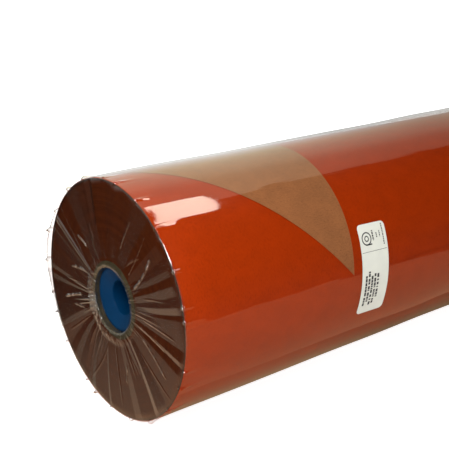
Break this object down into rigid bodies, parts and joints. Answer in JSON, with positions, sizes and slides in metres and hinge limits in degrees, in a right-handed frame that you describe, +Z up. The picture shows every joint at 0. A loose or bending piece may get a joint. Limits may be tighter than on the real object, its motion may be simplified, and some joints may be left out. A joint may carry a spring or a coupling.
{
  "type": "counter roll of wrapping paper",
  "caption": "Wide roll of terracotta kraft wrapping paper on a cardboard core, one corner folded back, in clear gathered film with blue core plugs and a white label.",
  "frame": {"origin": "centre of the roll, on its axis at mid-length", "axes": "+X along the roll from the end with the folded corner to the other end, +Z up as the roll lies on its side, -Y towards the side that carries the label"},
  "size_m": [0.502, 0.1851, 0.1848],
  "materials": {
    "core_board": "grey-brown spiral-wound board",
    "wound_paper": "cut edges of the web, brown with orange lines",
    "printed_kraft": "terracotta print on kraft, slightly glazed",
    "natural_kraft": "unprinted brown kraft",
    "clear_film": "clear glossy film",
    "blue_plastic": "blue moulded plastic, satin",
    "label_paper": null
  },
  "bodies": {
    "roll": {"core_tube": "core_board", "paper_winding": "wound_paper", "outer_turn": "printed_kraft", "folded_corner": "natural_kraft", "film_wrap": "clear_film", "label": "label_paper"},
    "left_plug": {"end_plug_left": "blue_plastic"},
    "right_plug": {"end_plug_right": "blue_plastic"}
  },
  "joints": [
    {"name": "left_plug_pull", "type": "slide", "parent": "roll", "child": "left_plug", "axis": [-1, 0, 0], "range_m": [0, 0.045]},
    {"name": "right_plug_pull", "type": "slide", "parent": "roll", "child": "right_plug", "axis": [1, 0, 0], "range_m": [0, 0.045]}
  ]
}
